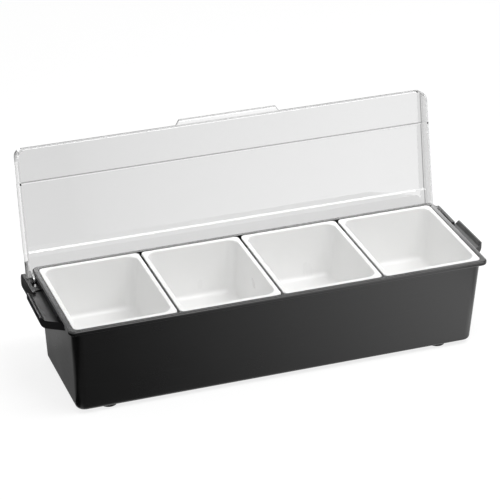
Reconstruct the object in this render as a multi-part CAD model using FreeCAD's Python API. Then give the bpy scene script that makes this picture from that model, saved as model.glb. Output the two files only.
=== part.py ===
import FreeCAD, Part
import math
import os

V = FreeCAD.Vector

# Inserts (mm, degrees)
INSERT_COUNT = 4
INSERT_PITCH = 112.0
FLANGE_GAP = 2.5          # between neighbouring flanges
FLANGE_DEPTH = 136.5      # front to back
FLANGE_THICK = 2.0
FLANGE_LAP = 3.0          # flange beyond the outside of the body
FLANGE_CORNER_R = 5.0
FLANGE_EDGE_R = 0.8
INSERT_DEPTH = 62.0
INSERT_WALL = 1.8
INSERT_DRAFT = 5.0
INSERT_CORNER_R = 13.0
INSERT_BOTTOM_R = 8.0
INSERT_MOUTH_R = 1.2

# Tub
RIM_HEIGHT = 100.0        # underside of the tub to the top of the rim
TUB_WALL = 3.2
TUB_FLOOR = 3.0
END_DRAFT = 2.48
SIDE_DRAFT = 4.3
TUB_CORNER_R = 10.0
TUB_BOTTOM_R = 3.8
SEAT_WIDTH = 2.4          # step that carries the flanges
SEAT_GAP = 0.6            # flange edge to the bead round it
BEAD_WIDTH = 5.35
BEAD_HEIGHT = 5.0
BEAD_ROUND = 1.8
BEAD_CORNER_R = 7.0

# Feet
FOOT_DIAMETER = 18.0
FOOT_HEIGHT = 4.0         # below the tub
FOOT_SINK = 0.8           # into the tub floor
FOOT_GAP = 0.05
FOOT_EDGE_R = 1.0
FOOT_INSET_X = 36.0       # from the end of the base to a foot's centre
FOOT_INSET_Y = 13.4

# Lid
LID_THICK = 1.8
LID_SIDE_GAP = 0.5        # bead to the inside of an end wall
LID_FRONT_GAP = 0.5       # bead to the shut lid's front edge
LID_FRONT_REACH = 2.5     # front edge beyond the bead
LID_REAR_GAP = 1.0        # bead to the inside of the rear wall
LID_SLOPE = 5.1           # fall of the shut lid towards the front
LID_SWING = 107.0         # shut to open
END_WALL_DROP = 13.5      # end wall height at the front
END_WALL_GROWTH = 0.0262  # added height per mm towards the rear
LID_CORNER_R = 8.0        # front corners of the panel, the end walls round them
STOP_GAP = 0.4            # open lid's rear wall to the back of the tub
FIELD_RISE = 1.8          # raised field across the panel
FIELD_FRONT = 38.0        # front edge of the lid to the field
FIELD_LENGTH = 75.0
FIELD_RAMP = 2.4
TAB_WIDTH = 117.0
TAB_OFFSET = 4.5          # towards the right-hand end
TAB_REACH = 6.0
TAB_BEVEL = 4.0
ROLL_R = 1.0              # rolled edge inside the panel's front and the tab
ROLL_SET_BACK = 0.15      # roll behind the edge
ROLL_SINK = 0.2           # its middle above the panel's inside
LEG_R = 10.0              # round end of a hinge leg

# Hinge
PIVOT_INSET = 11.2        # ahead of the back of the bead
PIVOT_DROP = 12.0         # below the top of the rim
PIN_DIAMETER = 5.0
PIN_RUN_GAP = 0.05        # radial, pin to leg
PIN_SEAT = 4.6            # depth of the pin's end in the cheek
LEG_PLAY = 0.4            # leg to a boss, each side
BOSS_DIAMETER = 11.0
CHEEK_SET_BACK = 1.4      # cheek face behind the outside of the bead
CHEEK_R = 10.4            # round end of the cheek
EAR_GAP = 4.0             # leg to the ear
EAR_THICK = 3.4
EAR_TAIL = 18.0           # pivot to the ear's rear end
EAR_TOP_DROP = 6.9        # rim top to the ear's top
EAR_HEIGHT = 16.5
EAR_TOP_R = 8.0
EAR_LOW_R = 4.0
BLOCK_GAP = 7.0           # leg's round end to the hinge block
BLOCK_LENGTH = 8.0
BLOCK_TOP_DROP = 8.0
BLOCK_HEIGHT = 13.4

# Handles
HANDLE_LENGTH = 56.0      # along the end, lip only
HANDLE_STEP = 6.0         # lip beyond the ear's outside
HANDLE_FLARE = 1.0        # lip turned outwards towards the front
HANDLE_SLANT = 32.0       # front end
SHELF_DROP = 9.6          # rim top to the shelf
SHELF_THICK = 2.6
LIP_RISE = 3.0            # lip above the shelf
LIP_TOP = 1.6
LIP_RUN = 3.0             # width of the lip's sloped inside
SKIRT_DEPTH = 8.8         # shelf to the bottom of the skirt
SKIRT_ROUND = 6.0
SHELF_TO_BLOCK = 4.0
PLATE_GAP = 1.2           # under the bead
PLATE_HEIGHT = 13.6
TONGUE_WIDTH = 14.0
TONGUE_THICK = 3.2
TONGUE_DROP = 5.0         # plate top to the tongue's top
TONGUE_PITCH = 34.0
TONGUE_Y = 7.0            # middle of the two tongues
TONGUE_GAP = 0.2          # tongue to its slot
BARB_REACH = 1.0
BARB_DROP = 1.4

# Worked out from the values above
Z_BASE = FOOT_HEIGHT
Z_RIM = Z_BASE + RIM_HEIGHT
Z_SEAT = Z_RIM - FLANGE_THICK
Z_BEAD = Z_RIM - BEAD_HEIGHT
FLANGE_LENGTH = INSERT_PITCH - FLANGE_GAP
ARRAY_X = (INSERT_COUNT * INSERT_PITCH - FLANGE_GAP) / 2
ARRAY_Y = FLANGE_DEPTH / 2
RECESS_X = ARRAY_X + SEAT_GAP
RECESS_Y = ARRAY_Y + SEAT_GAP
BEAD_X = RECESS_X + BEAD_WIDTH
BEAD_Y = RECESS_Y + BEAD_WIDTH
WALL_X = RECESS_X - SEAT_WIDTH + TUB_WALL
WALL_Y = RECESS_Y - SEAT_WIDTH + TUB_WALL
END_SLOPE = math.tan(math.radians(END_DRAFT))
SIDE_SLOPE = math.tan(math.radians(SIDE_DRAFT))
BASE_X = WALL_X - (Z_SEAT - Z_BASE) * END_SLOPE
BASE_Y = WALL_Y - (Z_SEAT - Z_BASE) * SIDE_SLOPE
LID_IN_X = BEAD_X + LID_SIDE_GAP
LID_X = LID_IN_X + LID_THICK
PIVOT_Y = BEAD_Y - PIVOT_INSET
PIVOT_Z = Z_RIM - PIVOT_DROP
PIN_R = PIN_DIAMETER / 2
CHEEK_X = BEAD_X - CHEEK_SET_BACK
EAR_X = LID_X + EAR_GAP
EAR_OUT_X = EAR_X + EAR_THICK
LIP_X = EAR_OUT_X + HANDLE_STEP
BOSS_IN_X = LID_IN_X - LEG_PLAY
BOSS_OUT_X = LID_X + LEG_PLAY
PIN_END_X = BOSS_IN_X - PIN_SEAT
BLOCK_REAR_Y = PIVOT_Y - LEG_R - BLOCK_GAP
BLOCK_FRONT_Y = BLOCK_REAR_Y - BLOCK_LENGTH
STEP_Y = BLOCK_FRONT_Y - SHELF_TO_BLOCK
HANDLE_FRONT_Y = STEP_Y - HANDLE_LENGTH
Z_SHELF = Z_RIM - SHELF_DROP
Z_LIP = Z_SHELF + LIP_RISE
Z_SKIRT = Z_SHELF - SKIRT_DEPTH
Z_PLATE = Z_BEAD - PLATE_GAP
Z_EAR = Z_RIM - EAR_TOP_DROP
Z_BLOCK = Z_RIM - BLOCK_TOP_DROP
Z_TONGUE = Z_PLATE - TONGUE_DROP
SLOPE = math.radians(LID_SLOPE)

# Front edge of the shut lid, and the lid's length along its own slope
LID_FRONT_Y = -(BEAD_Y + LID_FRONT_REACH)
LID_FRONT_Z = Z_RIM + LID_FRONT_GAP + LID_THICK
LID_LENGTH = (BEAD_Y + LID_REAR_GAP + LID_THICK - LID_FRONT_Y) / math.cos(SLOPE)
FIELD_REAR = FIELD_FRONT + FIELD_LENGTH


def box(x0, x1, y0, y1, z0, z1):
    return Part.makeBox(x1 - x0, y1 - y0, z1 - z0, V(x0, y0, z0))


def rod_x(radius, x0, x1, y, z):
    return Part.makeCylinder(radius, x1 - x0, V(x0, y, z), V(1, 0, 0))


def solid_from(points, way):
    wire = Part.makePolygon(points + [points[0]])
    return Part.Face(wire).extrude(way)


def frustum(ax, ay, z0, bx, by, z1):
    solid = Part.makeWedge(-ax, z0, -ay, -by, -bx, ax, z1, ay, by, bx)
    solid.rotate(V(0, 0, 0), V(1, 0, 0), 90)
    return solid


def standing_edges(shape):
    found = []
    for edge in shape.Edges:
        low, high = sorted(v.Z for v in edge.Vertexes)
        if high - low > 1.0:
            found.append(edge)
    return found


def level_edges(shape, z):
    found = []
    for edge in shape.Edges:
        middle_at = (edge.FirstParameter + edge.LastParameter) / 2
        heights = [v.Z for v in edge.Vertexes] + [edge.valueAt(middle_at).z]
        if max(abs(h - z) for h in heights) < 1e-4:
            found.append(edge)
    return found


def round_box(hx, hy, z0, z1, radius):
    raw = box(-hx, hx, -hy, hy, z0, z1)
    return raw.makeFillet(radius, standing_edges(raw))


def tapered(ax, ay, z0, bx, by, z1, corner_r, bottom_r):
    raw = frustum(ax, ay, z0, bx, by, z1)
    raw = raw.makeFillet(corner_r, standing_edges(raw))
    return raw.makeFillet(bottom_r, level_edges(raw, z0))


def tub_outside():
    rise = Z_RIM - Z_SEAT
    return tapered(BASE_X, BASE_Y, Z_BASE, WALL_X + rise * END_SLOPE / 2,
                   WALL_Y + rise * SIDE_SLOPE / 2, Z_SEAT + rise / 2,
                   TUB_CORNER_R, TUB_BOTTOM_R)


def bead_block():
    raw = round_box(BEAD_X, BEAD_Y, Z_BEAD, Z_RIM, BEAD_CORNER_R)
    edges = level_edges(raw, Z_BEAD) + level_edges(raw, Z_RIM)
    return raw.makeFillet(BEAD_ROUND, edges)


def tongue_box(y, gap, x0, x1):
    half = TONGUE_WIDTH / 2 + gap
    return box(x0, x1, y - half, y + half, Z_TONGUE - TONGUE_THICK - gap, Z_TONGUE + gap)


def tongue_rows():
    return [TONGUE_Y - TONGUE_PITCH / 2, TONGUE_Y + TONGUE_PITCH / 2]


def foot_spots():
    x = BASE_X - FOOT_INSET_X
    y = BASE_Y - FOOT_INSET_Y
    return {"front_left": (-x, -y), "front_right": (x, -y),
            "rear_left": (-x, y), "rear_right": (x, y)}


def make_tub():
    z_floor = Z_BASE + TUB_FLOOR
    ax = BASE_X - TUB_WALL + TUB_FLOOR * END_SLOPE
    ay = BASE_Y - TUB_WALL + TUB_FLOOR * SIDE_SLOPE
    rise = Z_RIM + 1 - z_floor
    inner_r = TUB_CORNER_R - TUB_WALL
    cavity = tapered(ax, ay, z_floor, ax + rise * END_SLOPE, ay + rise * SIDE_SLOPE,
                     Z_RIM + 1, inner_r, TUB_BOTTOM_R - 1)
    recess = round_box(RECESS_X, RECESS_Y, Z_SEAT, Z_RIM + 1, FLANGE_CORNER_R + SEAT_GAP)
    tub = tub_outside().fuse(bead_block()).removeSplitter()
    tub = tub.cut(cavity).cut(recess)
    for y in tongue_rows():
        tub = tub.cut(tongue_box(y, TONGUE_GAP, BASE_X - 4 * TUB_WALL, BEAD_X + 1))
        tub = tub.cut(tongue_box(y, TONGUE_GAP, -BEAD_X - 1, -BASE_X + 4 * TUB_WALL))
    for x, y in foot_spots().values():
        hole = Part.makeCylinder(FOOT_DIAMETER / 2 + FOOT_GAP, FOOT_SINK, V(x, y, Z_BASE))
        tub = tub.cut(hole)
    return tub


def make_foot(x, y):
    radius = FOOT_DIAMETER / 2
    foot = Part.makeCylinder(radius, FOOT_HEIGHT + FOOT_SINK, V(x, y, 0))
    return foot.makeFillet(FOOT_EDGE_R, level_edges(foot, 0))


def make_insert(x):
    slope = math.tan(math.radians(INSERT_DRAFT))
    top_x = FLANGE_LENGTH / 2 - FLANGE_LAP
    top_y = FLANGE_DEPTH / 2 - FLANGE_LAP
    z_low = Z_RIM - INSERT_DEPTH
    drop = Z_SEAT - z_low
    lap = FLANGE_THICK / 2
    body = tapered(top_x - drop * slope, top_y - drop * slope, z_low,
                   top_x + lap * slope, top_y + lap * slope, Z_SEAT + lap,
                   INSERT_CORNER_R, INSERT_BOTTOM_R)
    flange = round_box(FLANGE_LENGTH / 2, ARRAY_Y, Z_SEAT, Z_RIM, FLANGE_CORNER_R)
    flange = flange.makeFillet(FLANGE_EDGE_R, level_edges(flange, Z_RIM))
    z_in = z_low + INSERT_WALL
    deep = Z_RIM - z_in
    in_x = top_x - INSERT_WALL - (Z_SEAT - z_in) * slope
    in_y = top_y - INSERT_WALL - (Z_SEAT - z_in) * slope
    hollow = tapered(in_x, in_y, z_in, in_x + deep * slope, in_y + deep * slope, Z_RIM,
                     INSERT_CORNER_R - INSERT_WALL, INSERT_BOTTOM_R - INSERT_WALL)
    pan = body.fuse(flange).removeSplitter().cut(hollow)
    mouth = []
    for edge in level_edges(pan, Z_RIM):
        box_of = edge.BoundBox
        reach = max(abs(box_of.XMin), abs(box_of.XMax))
        if reach < top_x and max(abs(box_of.YMin), abs(box_of.YMax)) < top_y:
            mouth.append(edge)
    pan = pan.makeFillet(INSERT_MOUTH_R, mouth)
    pan.translate(V(x, 0, 0))
    return pan


def shelf_profile(y):
    low_r = SKIRT_ROUND
    mid = V(LIP_X - low_r, y, Z_SKIRT + low_r)
    turn = low_r * math.sqrt(0.5)
    arc = Part.Arc(V(mid.x, y, Z_SKIRT), V(mid.x + turn, y, mid.z - turn), V(LIP_X, y, mid.z))
    points = [V(LIP_X, y, mid.z), V(LIP_X, y, Z_LIP), V(LIP_X - LIP_TOP, y, Z_LIP),
              V(LIP_X - LIP_TOP - LIP_RUN, y, Z_SHELF), V(BASE_X - TUB_WALL, y, Z_SHELF),
              V(BASE_X - TUB_WALL, y, Z_SKIRT), V(mid.x, y, Z_SKIRT)]
    edges = [arc.toShape()]
    for a, b in zip(points[:-1], points[1:]):
        edges.append(Part.makeLine(a, b))
    return Part.Face(Part.Wire(edges))


def hollow_profile(y):
    skin = SHELF_THICK
    low_r = SKIRT_ROUND - skin
    mid = V(LIP_X - SKIRT_ROUND, y, Z_SKIRT + SKIRT_ROUND)
    z_top = Z_SHELF - skin
    fall = mid.z - z_top
    out = math.sqrt(low_r * low_r - fall * fall)
    half = (math.pi / 2 - math.asin(fall / low_r)) / 2
    via = V(mid.x + low_r * math.sin(half), y, mid.z - low_r * math.cos(half))
    start = V(mid.x, y, mid.z - low_r)
    end = V(mid.x + out, y, z_top)
    arc = Part.Arc(start, via, end)
    points = [end, V(CHEEK_X, y, z_top), V(CHEEK_X, y, Z_SKIRT - 1), V(mid.x, y, Z_SKIRT - 1),
              start]
    edges = [arc.toShape()]
    for a, b in zip(points[:-1], points[1:]):
        edges.append(Part.makeLine(a, b))
    return Part.Face(Part.Wire(edges))


def front_cutter(back):
    reach = 4 * HANDLE_LENGTH
    cutter = box(-reach, reach, -reach, back, Z_BASE, Z_RIM)
    cutter.rotate(V(0, 0, 0), V(0, 0, 1), HANDLE_SLANT)
    cutter.translate(V(LIP_X, HANDLE_FRONT_Y, 0))
    return cutter


def make_handle():
    y_start = HANDLE_FRONT_Y - HANDLE_LENGTH / 2
    turn_at = V(LIP_X, STEP_Y, 0)
    shelf = shelf_profile(y_start).extrude(V(0, STEP_Y - y_start, 0))
    hollow = hollow_profile(y_start).extrude(V(0, STEP_Y - SHELF_THICK - y_start, 0))
    for shape in (shelf, hollow):
        shape.rotate(turn_at, V(0, 0, 1), HANDLE_FLARE)
    shelf = shelf.cut(front_cutter(0))
    hollow = hollow.cut(front_cutter(SHELF_THICK))
    shelf = shelf.cut(hollow)

    z_low = Z_PLATE - PLATE_HEIGHT
    in_x = BASE_X - TUB_WALL
    plate = box(in_x, CHEEK_X, HANDLE_FRONT_Y, STEP_Y, z_low, Z_PLATE)
    cheek_in = WALL_X + SEAT_GAP / 4
    cheek = box(cheek_in, CHEEK_X, STEP_Y - 1, PIVOT_Y, z_low, Z_PLATE)
    z_eye = max(PIVOT_Z - CHEEK_R, z_low)
    eye = rod_x(CHEEK_R, cheek_in, CHEEK_X, PIVOT_Y, PIVOT_Z)
    eye = eye.common(box(cheek_in, CHEEK_X, PIVOT_Y - CHEEK_R, PIVOT_Y + CHEEK_R, z_eye, Z_PLATE))
    boss_in = rod_x(BOSS_DIAMETER / 2, CHEEK_X - 1, BOSS_IN_X, PIVOT_Y, PIVOT_Z)
    boss_out = rod_x(BOSS_DIAMETER / 2, BOSS_OUT_X, EAR_X + 1, PIVOT_Y, PIVOT_Z)

    ear_rear = PIVOT_Y + EAR_TAIL
    ear = box(EAR_X, EAR_OUT_X, STEP_Y - 1, ear_rear, Z_EAR - EAR_HEIGHT, Z_EAR)
    for edge_z, radius in ((Z_EAR, EAR_TOP_R), (Z_EAR - EAR_HEIGHT, EAR_LOW_R)):
        picked = [e for e in level_edges(ear, edge_z) if e.BoundBox.YMin > ear_rear - 0.1]
        ear = ear.makeFillet(radius, picked)

    block = box(in_x, EAR_X + 1, BLOCK_FRONT_Y, BLOCK_REAR_Y, Z_BLOCK - BLOCK_HEIGHT, Z_BLOCK)
    bridge = box(in_x, EAR_OUT_X, STEP_Y - 1, BLOCK_FRONT_Y + 1, Z_SKIRT, Z_SHELF)

    handle = shelf.multiFuse([plate, cheek, eye, boss_in, boss_out, ear, block, bridge])
    handle = handle.cut(tub_outside())
    handle = handle.cut(rod_x(PIN_R, PIN_END_X, EAR_OUT_X + 1, PIVOT_Y, PIVOT_Z))
    for y in tongue_rows():
        z_tip = Z_TONGUE - TONGUE_THICK
        wall_at = WALL_X - (Z_SEAT - z_tip) * END_SLOPE
        inside = wall_at - TUB_WALL - TONGUE_GAP
        tip = inside - BARB_REACH
        tongue = tongue_box(y, 0, tip, CHEEK_X - 1)
        half = TONGUE_WIDTH / 2
        barb = box(tip, inside - BARB_DROP * END_SLOPE, y - half, y + half, z_tip - BARB_DROP, z_tip + 1)
        handle = handle.fuse(tongue).fuse(barb)
    return handle.removeSplitter()


def make_pin():
    return rod_x(PIN_R, PIN_END_X, EAR_OUT_X, PIVOT_Y, PIVOT_Z)


def panel_outline(drop):
    half = FIELD_RAMP / 2
    marks = [(0, 0), (FIELD_FRONT - half, 0), (FIELD_FRONT + half, FIELD_RISE),
             (FIELD_REAR - half, FIELD_RISE), (FIELD_REAR + half, 0), (LID_LENGTH, 0)]
    return [(u, w - drop) for u, w in marks]


def wall_depth(u):
    return END_WALL_DROP + END_WALL_GROWTH * u


def pivot_in_lid():
    dy = PIVOT_Y - LID_FRONT_Y
    dz = PIVOT_Z - LID_FRONT_Z
    u = dy * math.cos(SLOPE) + dz * math.sin(SLOPE)
    w = dz * math.cos(SLOPE) - dy * math.sin(SLOPE)
    return u, w


def open_place(u, w):
    pivot_u, pivot_w = pivot_in_lid()
    turn = math.radians(LID_SLOPE - LID_SWING)
    y = PIVOT_Y + (u - pivot_u) * math.cos(turn) - (w - pivot_w) * math.sin(turn)
    z = PIVOT_Z + (u - pivot_u) * math.sin(turn) + (w - pivot_w) * math.cos(turn)
    return y, z


def rear_wall_drop():
    turn = math.radians(LID_SLOPE - LID_SWING)
    y, z = open_place(LID_LENGTH, 0)
    room = y - BASE_Y - (z - Z_BASE) * SIDE_SLOPE - STOP_GAP / math.cos(math.radians(SIDE_DRAFT))
    return -room / (math.sin(turn) + math.cos(turn) * SIDE_SLOPE)


def lid_plan(inset, rear, low, high):
    raw = box(inset - LID_X, LID_X - inset, inset, rear, low, high)
    corners = [e for e in standing_edges(raw) if e.BoundBox.YMax < inset + LID_THICK / 2]
    return raw.makeFillet(LID_CORNER_R - inset, corners)


def wall_profile():
    field = FIELD_RISE - LID_THICK / 2
    outline = [(0, 0), (0, -END_WALL_DROP), (LID_LENGTH, -wall_depth(LID_LENGTH)), (LID_LENGTH, 0),
               (FIELD_REAR, 0), (FIELD_REAR, field), (FIELD_FRONT, field), (FIELD_FRONT, 0)]
    profile = solid_from([V(-LID_X, u, w) for u, w in outline], V(2 * LID_X, 0, 0))
    corner = [e for e in level_edges(profile, -END_WALL_DROP) if e.BoundBox.XLength > LID_X]
    return profile.makeFillet(END_WALL_DROP - LID_THICK, corner)


def end_walls():
    low = -wall_depth(LID_LENGTH) - LID_THICK
    high = FIELD_RISE + LID_THICK
    walls = lid_plan(0, LID_LENGTH, low, high).cut(lid_plan(LID_THICK, 2 * LID_LENGTH, low, high))
    between = LID_X - LID_CORNER_R
    walls = walls.cut(box(-between, between, 0, LID_LENGTH, low, high)).common(wall_profile())
    u, w = pivot_in_lid()
    for x0 in (LID_IN_X, -LID_X):
        leg = Part.makeBox(LID_THICK, 2 * LEG_R, -w - LID_THICK, V(x0, u - LEG_R, w))
        eye = rod_x(LEG_R, x0, x0 + LID_THICK, u, w)
        walls = walls.multiFuse([leg, eye])
    return walls.cut(rod_x(PIN_R + PIN_RUN_GAP, -LID_X, LID_X, u, w))


def make_lid():
    points = [V(-LID_X, u, w) for u, w in panel_outline(0)]
    points += [V(-LID_X, u, w) for u, w in reversed(panel_outline(LID_THICK))]
    panel = solid_from(points, V(2 * LID_X, 0, 0))
    panel = panel.common(lid_plan(0, LID_LENGTH, -LID_LENGTH, LID_LENGTH))
    rear = box(-LID_X, LID_X, LID_LENGTH - LID_THICK, LID_LENGTH, -rear_wall_drop(), 0)
    half = TAB_WIDTH / 2
    tab = solid_from([V(-half, 1, 0), V(half, 1, 0), V(half, 0, 0), V(half - TAB_BEVEL, -TAB_REACH, 0),
                      V(TAB_BEVEL - half, -TAB_REACH, 0), V(-half, 0, 0)], V(0, 0, -LID_THICK))
    tab.translate(V(TAB_OFFSET, 0, 0))
    roll_u = ROLL_R + ROLL_SET_BACK
    roll_w = ROLL_SINK - LID_THICK
    reach = LID_X - LID_CORNER_R
    front_roll = rod_x(ROLL_R, -reach, reach, roll_u, roll_w)
    tab_roll = rod_x(ROLL_R, TAB_OFFSET + TAB_BEVEL - half, TAB_OFFSET + half - TAB_BEVEL,
                     roll_u - TAB_REACH, roll_w)
    lid = panel.multiFuse([rear, tab, end_walls(), front_roll, tab_roll])
    lid = lid.removeSplitter()
    lid.rotate(V(0, 0, 0), V(1, 0, 0), LID_SLOPE)
    lid.translate(V(0, LID_FRONT_Y, LID_FRONT_Z))
    lid.rotate(V(0, PIVOT_Y, PIVOT_Z), V(1, 0, 0), -LID_SWING)
    return lid


def mirrored(shape):
    return shape.mirror(V(0, 0, 0), V(1, 0, 0))


handle = make_handle()
pin = make_pin()
nodes = {"tub": make_tub(), "lid": make_lid(),
         "handle_right": handle, "handle_left": mirrored(handle),
         "hinge_pin_right": pin, "hinge_pin_left": mirrored(pin)}
for number in range(INSERT_COUNT):
    nodes["insert_" + str(number + 1)] = make_insert((number - (INSERT_COUNT - 1) / 2) * INSERT_PITCH)
for spot, (x, y) in foot_spots().items():
    nodes["foot_" + spot] = make_foot(x, y)

# The origin is the middle of the whole part, lid open, at the level it stands on
middle = (open_place(-TAB_REACH, 0)[0] - BEAD_Y) / 2
os.makedirs("parts", exist_ok=True)
for name, shape in nodes.items():
    shape.translate(V(0, -middle, 0))
    shape.exportStep("parts/" + name + ".step")
    print(name, shape.isValid(), len(shape.Solids), round(shape.Volume, 1), shape.BoundBox)
print("shift", round(-middle, 4), "pivot", round(PIVOT_Y - middle, 4), round(PIVOT_Z, 4))
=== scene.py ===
"""Chilled condiment server: a black tub, four white lift-out pans and a clear lid on two pins."""

import math

import bpy
from mathutils import Matrix, Vector


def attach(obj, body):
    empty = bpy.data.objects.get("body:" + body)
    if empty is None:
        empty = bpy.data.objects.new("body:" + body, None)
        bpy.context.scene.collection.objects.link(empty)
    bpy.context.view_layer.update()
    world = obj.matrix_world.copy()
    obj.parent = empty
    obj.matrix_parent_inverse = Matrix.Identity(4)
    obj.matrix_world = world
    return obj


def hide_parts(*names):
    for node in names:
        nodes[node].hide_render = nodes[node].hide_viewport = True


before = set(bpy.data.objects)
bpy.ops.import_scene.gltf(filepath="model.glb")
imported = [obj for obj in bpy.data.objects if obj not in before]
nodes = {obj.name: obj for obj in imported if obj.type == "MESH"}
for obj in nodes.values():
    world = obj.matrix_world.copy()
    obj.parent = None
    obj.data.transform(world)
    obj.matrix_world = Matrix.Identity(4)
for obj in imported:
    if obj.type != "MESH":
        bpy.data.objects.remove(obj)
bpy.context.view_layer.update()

PAN_NODES = ["insert_1", "insert_2", "insert_3", "insert_4"]
FOOT_NODES = ["foot_front_left", "foot_front_right", "foot_rear_left", "foot_rear_right"]
PIN_NODES = ["hinge_pin_left", "hinge_pin_right"]

# Easing of the handles' edges: its width in metres, and what counts as an edge, a flat and one point
HANDLE_EDGE = 0.0005
EDGE_STEPS = 3
SMOOTH_ANGLE = math.radians(32)
FLAT_ANGLE = math.radians(0.3)
WELD = 2e-6
FLAT_WEIGHT = 100

# Colours, from the plain one to the worn one
BLACK = (0.005, 0.005, 0.0052, 1.0)
BLACK_RUBBED = (0.008, 0.008, 0.0083, 1.0)
GRAIN = (0.013, 0.013, 0.0134, 1.0)
GRAIN_HIGH = (0.017, 0.017, 0.0175, 1.0)
WHITE = (0.90, 0.90, 0.895, 1.0)
WHITE_WORN = (0.88, 0.88, 0.873, 1.0)
PIN_DARK = (0.022, 0.022, 0.023, 1.0)
PIN_LIGHT = (0.040, 0.040, 0.041, 1.0)
RUBBER_DARK = (0.005, 0.005, 0.005, 1.0)
RUBBER_DUSTY = (0.014, 0.0138, 0.0135, 1.0)
FLOOR_WHITE = (0.28, 0.28, 0.28, 1.0)

# How clear the lid's plastic is, the painted shade lines at its edges, creases, corners and end walls, the
# painted highlights on its tab and crease step, and the least that is left
CLEAR = 0.71
TAB_PAINTED_LIGHT = 0.14
WALL_PAINTED_SHADE = -0.06
CORNER_PAINTED_SHADE = -0.42
EDGE_PAINTED_SHADE = -0.20
CREASE_PAINTED_SHADE = -0.34
STEP_PAINTED_HIGHLIGHT = 0.20
CLEAR_LEAST = 0.28
CLEAR_IOR = 1.49

# Where the tub's rim starts to be polished, and by how much
RIM_LOW = 0.0955
RIM_HIGH = 0.0975
RIM_POLISH = -0.17

HANDLE_SHINE = 0.3

# The way up the open lid's panel, and where the edges, tab and creases lie along it or to its sides
LID_UP = (0.0, 0.2062, 0.97851)
FREE_EDGE = 0.2356
TAB_EDGE = 0.2418
EDGE_HALF = 0.0007
TAB_MIDDLE = 0.2387
TAB_HALF = 0.0022
TAB_OFFSET = 0.0045
TAB_LEAN = 0.6667
TAB_SLANT = 0.0541 + TAB_LEAN * 0.2423
CREASE = 0.1994
STEP = 0.1978
CREASE_HALF = 0.0006
CORNER = 0.2282
CORNER_HALF = 0.0005
END_WALL = 0.2303
WALL_HALF = 0.0008


def new_finish(name):
    """An empty material: its tree, its shader and the piece's own coordinates."""
    finish = bpy.data.materials.new(name)
    finish.use_nodes = True
    tree = finish.node_tree
    shader = tree.nodes["Principled BSDF"]
    place = tree.nodes.new("ShaderNodeTexCoord").outputs["Object"]
    return finish, tree, shader, place


def mottle(tree, place, size, detail=3.0, stretch=(1.0, 1.0, 1.0), turn=(0.0, 0.0, 0.0)):
    """Noise with blotches of about this size in metres, drawn out by stretch."""
    fit = tree.nodes.new("ShaderNodeMapping")
    fit.inputs["Rotation"].default_value = turn
    fit.inputs["Scale"].default_value = [1.0 / (size * s) for s in stretch]
    tree.links.new(place, fit.inputs["Vector"])
    noise = tree.nodes.new("ShaderNodeTexNoise")
    noise.inputs["Scale"].default_value = 1.0
    noise.inputs["Detail"].default_value = detail
    tree.links.new(fit.outputs["Vector"], noise.inputs["Vector"])
    return noise.outputs["Fac"]


def ramp(tree, source, start, stop, low, high):
    """The source between start and stop, spread from low to high."""
    step = tree.nodes.new("ShaderNodeMapRange")
    for socket, value in zip(("From Min", "From Max", "To Min", "To Max"), (start, stop, low, high)):
        step.inputs[socket].default_value = value
    tree.links.new(source, step.inputs["Value"])
    return step.outputs["Result"]


def sum_of(tree, first, second):
    """The two sources added."""
    both = tree.nodes.new("ShaderNodeMath")
    both.operation = "ADD"
    tree.links.new(first, both.inputs[0])
    tree.links.new(second, both.inputs[1])
    return both.outputs["Value"]


def tones(tree, share, first, second, target):
    """The first colour going to the second by share, into a shader's colour."""
    mix = tree.nodes.new("ShaderNodeMix")
    mix.data_type = "RGBA"
    colours = [s for s in mix.inputs if s.type == "RGBA"]
    colours[0].default_value = first
    colours[1].default_value = second
    tree.links.new(share, mix.inputs["Factor"])
    out = [s for s in mix.outputs if s.type == "RGBA"][0]
    tree.links.new(out, target)


def relief(tree, source, height, strength, shader):
    """The source as a surface relief of this height in metres."""
    bump = tree.nodes.new("ShaderNodeBump")
    bump.inputs["Distance"].default_value = height
    bump.inputs["Strength"].default_value = strength
    tree.links.new(source, bump.inputs["Height"])
    tree.links.new(bump.outputs["Normal"], shader.inputs["Normal"])


def band(tree, source, middle, half):
    """1 within half of the middle, falling to 0 just outside it."""
    away = tree.nodes.new("ShaderNodeMath")
    away.operation = "SUBTRACT"
    away.inputs[1].default_value = middle
    tree.links.new(source, away.inputs[0])
    return ramp(tree, size_of(tree, away.outputs["Value"]), 0.7 * half, 1.3 * half, 1.0, 0.0)


def both_of(tree, first, second):
    """Where both masks hold."""
    both = tree.nodes.new("ShaderNodeMath")
    both.operation = "MULTIPLY"
    tree.links.new(first, both.inputs[0])
    tree.links.new(second, both.inputs[1])
    return both.outputs["Value"]


def size_of(tree, source):
    """The source without its sign."""
    plain = tree.nodes.new("ShaderNodeMath")
    plain.operation = "ABSOLUTE"
    tree.links.new(source, plain.inputs[0])
    return plain.outputs["Value"]


def along(tree, place, way):
    """How far each point lies along this way."""
    reach = tree.nodes.new("ShaderNodeVectorMath")
    reach.operation = "DOT_PRODUCT"
    reach.inputs[1].default_value = way
    tree.links.new(place, reach.inputs[0])
    return reach.outputs["Value"]


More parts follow.
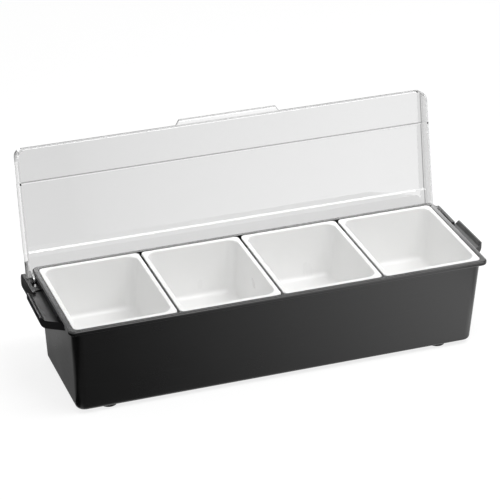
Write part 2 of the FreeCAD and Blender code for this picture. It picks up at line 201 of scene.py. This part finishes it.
def satin_black():
    """Moulded black plastic: a fine stipple, cloudy gloss, faint rub marks and a rim polished by use."""
    finish, tree, shader, place = new_finish("satin_black")
    clouds = mottle(tree, place, 0.05, 2.0)
    rubs = mottle(tree, place, 0.0016, 2.0, (22.0, 6.0, 1.0), (0.0, 0.0, 0.3))
    rubbed = ramp(tree, rubs, 0.62, 0.74, 0.0, 1.0)
    tones(tree, rubbed, BLACK, BLACK_RUBBED, shader.inputs["Base Color"])
    gloss = ramp(tree, clouds, 0.3, 0.7, 0.27, 0.33)
    dull = ramp(tree, rubbed, 0.0, 1.0, 0.0, 0.07)
    polish = ramp(tree, along(tree, place, (0.0, 0.0, 1.0)), RIM_LOW, RIM_HIGH, 0.0, RIM_POLISH)
    tree.links.new(sum_of(tree, sum_of(tree, gloss, dull), polish), shader.inputs["Roughness"])
    relief(tree, mottle(tree, place, 0.0008, 3.0), 0.00003, 0.5, shader)
    return finish


def grained_black():
    """The handles' black: moulded with a fine leathery grain that the hand has polished in places."""
    finish, tree, shader, place = new_finish("grained_black")
    grain = mottle(tree, place, 0.0011, 4.0)
    tones(tree, ramp(tree, grain, 0.40, 0.66, 0.0, 1.0), GRAIN, GRAIN_HIGH, shader.inputs["Base Color"])
    polish = ramp(tree, mottle(tree, place, 0.018, 2.0), 0.35, 0.65, 0.36, 0.42)
    tree.links.new(polish, shader.inputs["Roughness"])
    shader.inputs["Specular IOR Level"].default_value = HANDLE_SHINE
    relief(tree, grain, 0.00001, 0.15, shader)
    return finish


def clear_plastic():
    """Clear sheet with grey lines painted at its edges, creases, corners and end walls as shade, only
    partly the greyer look of thicker plastic, and painted highlights on its tab and crease step: slight
    waves, finger smears and hairlines in the gloss.
    """
    finish, tree, shader, place = new_finish("clear_plastic")
    up = along(tree, place, LID_UP)
    aside = size_of(tree, along(tree, place, (1.0, 0.0, 0.0)))
    tab = band(tree, up, TAB_MIDDLE, TAB_HALF)
    from_tab = ramp(tree, along(tree, place, (1.0, 0.0, 0.0)), 0.0, 1.0, -TAB_OFFSET, 1.0 - TAB_OFFSET)
    from_tab.node.clamp = False
    slant = sum_of(tree, size_of(tree, from_tab), along(tree, place, [TAB_LEAN * k for k in LID_UP]))
    inside = ramp(tree, aside, CORNER, CORNER + CORNER_HALF, 1.0, 0.0)
    # Painted shade: the crease, corners, end walls and free and tab edges are darkened in the colour;
    # painted highlight: the tab and the crease step are lightened
    crease_shade = both_of(tree, inside, band(tree, up, CREASE, CREASE_HALF))
    step = both_of(tree, inside, band(tree, up, STEP, CREASE_HALF))
    level = ramp(tree, band(tree, up, FREE_EDGE, EDGE_HALF), 0.0, 1.0, CLEAR, CLEAR + EDGE_PAINTED_SHADE)
    for mask, change in (
        (band(tree, up, TAB_EDGE, EDGE_HALF), EDGE_PAINTED_SHADE),
        (tab, TAB_PAINTED_LIGHT),
        (both_of(tree, tab, band(tree, slant, TAB_SLANT, EDGE_HALF)), EDGE_PAINTED_SHADE - TAB_PAINTED_LIGHT),
        (crease_shade, CREASE_PAINTED_SHADE),
        (step, STEP_PAINTED_HIGHLIGHT),
        (band(tree, aside, CORNER, CORNER_HALF), CORNER_PAINTED_SHADE),
        (band(tree, aside, END_WALL, WALL_HALF), WALL_PAINTED_SHADE),
    ):
        level = sum_of(tree, level, ramp(tree, mask, 0.0, 1.0, 0.0, change))
    level = ramp(tree, level, CLEAR_LEAST, 1.0, CLEAR_LEAST, 1.0)
    tree.links.new(level, shader.inputs["Base Color"])
    shader.inputs["IOR"].default_value = CLEAR_IOR
    shader.inputs["Transmission Weight"].default_value = 1.0
    smears = mottle(tree, place, 0.035, 4.0)
    hairs = mottle(tree, place, 0.0007, 1.0, (60.0, 60.0, 1.0), (0.35, 0.0, 0.2))
    smeared = ramp(tree, smears, 0.45, 0.75, 0.012, 0.05)
    hairline = ramp(tree, hairs, 0.70, 0.76, 0.0, 0.12)
    tree.links.new(sum_of(tree, smeared, hairline), shader.inputs["Roughness"])
    relief(tree, mottle(tree, place, 0.045, 1.0), 0.0004, 0.12, shader)
    return finish


def pan_white():
    """White food plastic, a little worn where it is scooped and stacked."""
    finish, tree, shader, place = new_finish("pan_white")
    clouds = mottle(tree, place, 0.06, 1.0)
    scrapes = mottle(tree, place, 0.0009, 2.0, (1.5, 26.0, 26.0), (0.0, 0.15, 0.4))
    scraped = ramp(tree, scrapes, 0.45, 0.85, 0.0, 1.0)
    tones(tree, ramp(tree, clouds, 0.15, 0.85, 0.0, 1.0), WHITE, WHITE_WORN, shader.inputs["Base Color"])
    gloss = ramp(tree, clouds, 0.15, 0.85, 0.26, 0.36)
    dull = ramp(tree, scraped, 0.0, 1.0, 0.0, 0.015)
    tree.links.new(sum_of(tree, gloss, dull), shader.inputs["Roughness"])
    relief(tree, mottle(tree, place, 0.012, 2.0), 0.0002, 0.10, shader)
    return finish


def pin_black():
    """The pins' matt plastic, with turning marks along them."""
    finish, tree, shader, place = new_finish("pin_black")
    rings = mottle(tree, place, 0.0004, 2.0, (1.0, 20.0, 20.0))
    tones(tree, ramp(tree, rings, 0.35, 0.65, 0.0, 1.0), PIN_DARK, PIN_LIGHT, shader.inputs["Base Color"])
    tree.links.new(ramp(tree, rings, 0.3, 0.7, 0.45, 0.62), shader.inputs["Roughness"])
    relief(tree, rings, 0.00005, 0.4, shader)
    return finish


def foot_rubber():
    """Dark rubber with a dusty bloom."""
    finish, tree, shader, place = new_finish("foot_rubber_dark")
    bloom = mottle(tree, place, 0.004, 4.0)
    dusty = ramp(tree, bloom, 0.45, 0.75, 0.0, 1.0)
    tones(tree, dusty, RUBBER_DARK, RUBBER_DUSTY, shader.inputs["Base Color"])
    tree.links.new(ramp(tree, dusty, 0.0, 1.0, 0.62, 0.85), shader.inputs["Roughness"])
    relief(tree, mottle(tree, place, 0.0006, 2.0), 0.00006, 0.5, shader)
    return finish


def only(piece):
    """Selects this piece alone."""
    bpy.ops.object.select_all(action="DESELECT")
    piece.select_set(True)
    bpy.context.view_layer.objects.active = piece


def eased(node, name, edge, finish):
    """The node's form with its sharp edges eased, as a mould leaves them."""
    piece = bpy.data.objects.new(name, nodes[node].data.copy())
    bpy.context.scene.collection.objects.link(piece)
    piece.data.materials.clear()
    piece.data.materials.append(finish)
    only(piece)
    bpy.ops.mesh.customdata_custom_splitnormals_clear()
    bpy.ops.object.mode_set(mode="EDIT")
    bpy.ops.mesh.select_all(action="SELECT")
    bpy.ops.mesh.remove_doubles(threshold=WELD)
    bpy.ops.mesh.dissolve_limited(angle_limit=FLAT_ANGLE)
    bpy.ops.object.mode_set(mode="OBJECT")
    round_over = piece.modifiers.new("eased_edges", "BEVEL")
    round_over.limit_method = "ANGLE"
    round_over.angle_limit = SMOOTH_ANGLE
    round_over.width = edge
    round_over.segments = EDGE_STEPS
    bpy.ops.object.modifier_apply(modifier=round_over.name)
    bpy.ops.object.shade_smooth_by_angle(angle=SMOOTH_ANGLE)
    flats = piece.modifiers.new("flats_stay_flat", "WEIGHTED_NORMAL")
    flats.weight = FLAT_WEIGHT
    flats.keep_sharp = True
    bpy.ops.object.modifier_apply(modifier=flats.name)
    return piece


def dress(names, finish):
    """Gives these nodes the finish."""
    for name in names:
        nodes[name].material_slots[0].material = finish


dress(["tub"], satin_black())
dress(PAN_NODES, pan_white())
dress(PIN_NODES, pin_black())
dress(FOOT_NODES, foot_rubber())
dress(["lid"], clear_plastic())
nodes["lid"].visible_shadow = False

grained = grained_black()
for side in ("left", "right"):
    handle = eased("handle_" + side, "handle_" + side + "_black", HANDLE_EDGE, grained)
    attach(handle, "base")
    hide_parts("handle_" + side)


CAMERA_PLACE = Vector((-0.7289, -1.99528, 1.2303))
CAMERA_AZIMUTH = math.radians(19.972)
CAMERA_DROP = math.radians(27.814)
CAMERA_ROLL = math.radians(0.173)
CAMERA_LENS = 163.757
CAMERA_SENSOR = 36.0


def set_camera():
    """The camera at the photograph's viewing angle."""
    ahead = Vector((
        math.sin(CAMERA_AZIMUTH) * math.cos(CAMERA_DROP),
        math.cos(CAMERA_AZIMUTH) * math.cos(CAMERA_DROP),
        -math.sin(CAMERA_DROP),
    ))
    level = Vector((math.cos(CAMERA_AZIMUTH), -math.sin(CAMERA_AZIMUTH), 0.0))
    upright = level.cross(ahead)
    right = math.cos(CAMERA_ROLL) * level + math.sin(CAMERA_ROLL) * upright
    top = math.cos(CAMERA_ROLL) * upright - math.sin(CAMERA_ROLL) * level
    camera = bpy.data.objects.new("camera", bpy.data.cameras.new("camera"))
    camera.data.sensor_width = CAMERA_SENSOR
    camera.data.lens = CAMERA_LENS
    turn = Matrix((right, top, -ahead)).transposed().to_4x4()
    camera.matrix_world = Matrix.Translation(CAMERA_PLACE) @ turn
    bpy.context.scene.collection.objects.link(camera)
    bpy.context.scene.camera = camera


def seen_directly(tree):
    """1 for rays from the camera, and for those that a shine or a clear piece sends on."""
    path = tree.nodes.new("ShaderNodeLightPath")
    first = sum_of(tree, path.outputs["Is Camera Ray"], path.outputs["Is Glossy Ray"])
    both = sum_of(tree, first, path.outputs["Is Transmission Ray"])
    both.node.use_clamp = True
    return both


FLOOR_SIZE = 14.0
FLOOR_LIFT = 0.80
SKY_WHITE = 1.0
SKY_FILL = 0.56


def lay_floor():
    """A plain pale floor with a little lift, so that it reads as white."""
    bpy.ops.object.select_all(action="DESELECT")
    bpy.ops.mesh.primitive_plane_add(size=FLOOR_SIZE)
    floor = bpy.context.object
    floor.name = "floor"
    finish = bpy.data.materials.new("floor_white")
    finish.use_nodes = True
    tree = finish.node_tree
    shader = tree.nodes["Principled BSDF"]
    shader.inputs["Base Color"].default_value = FLOOR_WHITE
    shader.inputs["Roughness"].default_value = 1.0
    shader.inputs["Specular IOR Level"].default_value = 0.0
    shader.inputs["Emission Color"].default_value = (1.0, 1.0, 1.0, 1.0)
    lift = ramp(tree, seen_directly(tree), 0.0, 1.0, 0.0, FLOOR_LIFT)
    tree.links.new(lift, shader.inputs["Emission Strength"])
    floor.data.materials.append(finish)


def set_sky():
    """White all round where it is seen, and a soft fill of light elsewhere."""
    world = bpy.data.worlds.new("studio")
    world.use_nodes = True
    bpy.context.scene.world = world
    tree = world.node_tree
    shade = tree.nodes["Background"]
    shade.inputs["Color"].default_value = (1.0, 1.0, 1.0, 1.0)
    level = ramp(tree, seen_directly(tree), 0.0, 1.0, SKY_FILL, SKY_WHITE)
    tree.links.new(level, shade.inputs["Strength"])


def hang_lamp(name, place, turn, width, height, power):
    """A soft box at place, facing down before it is turned."""
    data = bpy.data.lights.new(name, "AREA")
    data.shape = "RECTANGLE"
    data.size = width
    data.size_y = height
    data.energy = power
    lamp = bpy.data.objects.new(name, data)
    lamp.location = place
    lamp.rotation_euler = [math.radians(angle) for angle in turn]
    lamp.visible_camera = False
    bpy.context.scene.collection.objects.link(lamp)


def stand_reflection_card(name, width, height, place, turn, dark, bright, bend=1.0, through=False):
    """A painted reflection: a glowing or black card seen only in the shine, or with through also through
    clear plastic; it lights nothing and casts no shadow.

    It is graded along its width between two (place, strength) marks, evenly where bend is 1.
    """
    bpy.ops.object.select_all(action="DESELECT")
    bpy.ops.mesh.primitive_plane_add(size=1.0, location=place, rotation=turn)
    card = bpy.context.object
    card.name = name
    card.scale = (width, height, 1.0)
    card.visible_camera = False
    card.visible_diffuse = False
    card.visible_transmission = through
    card.visible_shadow = False
    finish = bpy.data.materials.new(name)
    finish.use_nodes = True
    card.data.materials.append(finish)
    tree = finish.node_tree
    tree.nodes.clear()
    parts = tree.nodes.new("ShaderNodeSeparateXYZ")
    tree.links.new(tree.nodes.new("ShaderNodeTexCoord").outputs["Object"], parts.inputs["Vector"])
    glow = tree.nodes.new("ShaderNodeEmission")
    share = ramp(tree, parts.outputs["X"], dark[0], bright[0], 0.0, 1.0)
    curve = tree.nodes.new("ShaderNodeMath")
    curve.operation = "POWER"
    curve.inputs[1].default_value = bend
    tree.links.new(share, curve.inputs[0])
    level = ramp(tree, curve.outputs["Value"], 0.0, 1.0, dark[1], bright[1])
    tree.links.new(level, glow.inputs["Strength"])
    out = tree.nodes.new("ShaderNodeOutputMaterial")
    tree.links.new(glow.outputs["Emission"], out.inputs["Surface"])


# Turns of a card: its width along X standing or lying, along Y lying, or upwards
UPRIGHT = (math.radians(90), 0.0, 0.0)
FLAT = (0.0, 0.0, 0.0)
ASIDE = (0.0, 0.0, math.radians(90))
TALL = (math.radians(90), math.radians(-90), 0.0)

set_camera()
lay_floor()
set_sky()
hang_lamp("lamp_top", place=(0.43, -0.45, 1.40), turn=(0.0, 0.0, 0.0), width=1.2, height=0.50, power=10.8)

# Painted reflections on the lid's panel, the bead and the tops of the rim: glowing cards seen only in the
# shine, card_back through the lid too
stand_reflection_card("card_front", 1.2, 0.22, (0.3, -0.6, 0.111), UPRIGHT,
           dark=(-0.258, 0.0), bright=(0.108, 3.6), bend=0.65)
stand_reflection_card("card_high", 1.6, 0.5, (0.35, -0.62, 1.0), FLAT, dark=(-0.5, 4.0), bright=(0.5, 4.0))
stand_reflection_card("card_back", 0.30, 0.90, (0.15, 0.45, 0.40), TALL,
           dark=(-0.333, 6.0), bright=(0.0, 1.6), through=True)

# Painted reflections on the tub's front wall, its left corner and its left wall: graded, grey and black
# cards lying on the floor, seen only in the shine, make the front-left dark
stand_reflection_card("card_floor", 0.55, 0.50, (0.005, -0.34, 0.0006), FLAT,
           dark=(-0.413, 0.14), bright=(0.456, 1.85), bend=1.6)
stand_reflection_card("card_corner", 0.595, 0.62, (-0.5225, -0.29, 0.0004), FLAT, dark=(-0.5, 0.0), bright=(0.5, 0.0))
stand_reflection_card("card_left", 0.16, 0.10, (-0.25, 0.02, 0.0006), ASIDE, dark=(0.156, 0.27), bright=(0.375, 0.42))

# Painted reflections on the lid's left end wall: a black card and a glowing card on the floor, seen only
# in the shine
stand_reflection_card("card_beyond", 0.50, 0.235, (-0.46, 0.1375, 0.0005), FLAT, dark=(-0.5, 0.0), bright=(0.5, 0.0))
stand_reflection_card("card_rear", 0.10, 0.26, (-0.316, 0.386, 0.0006), FLAT, dark=(-0.5, 1.7), bright=(0.5, 1.7))

bpy.context.scene.view_settings.view_transform = "Standard"
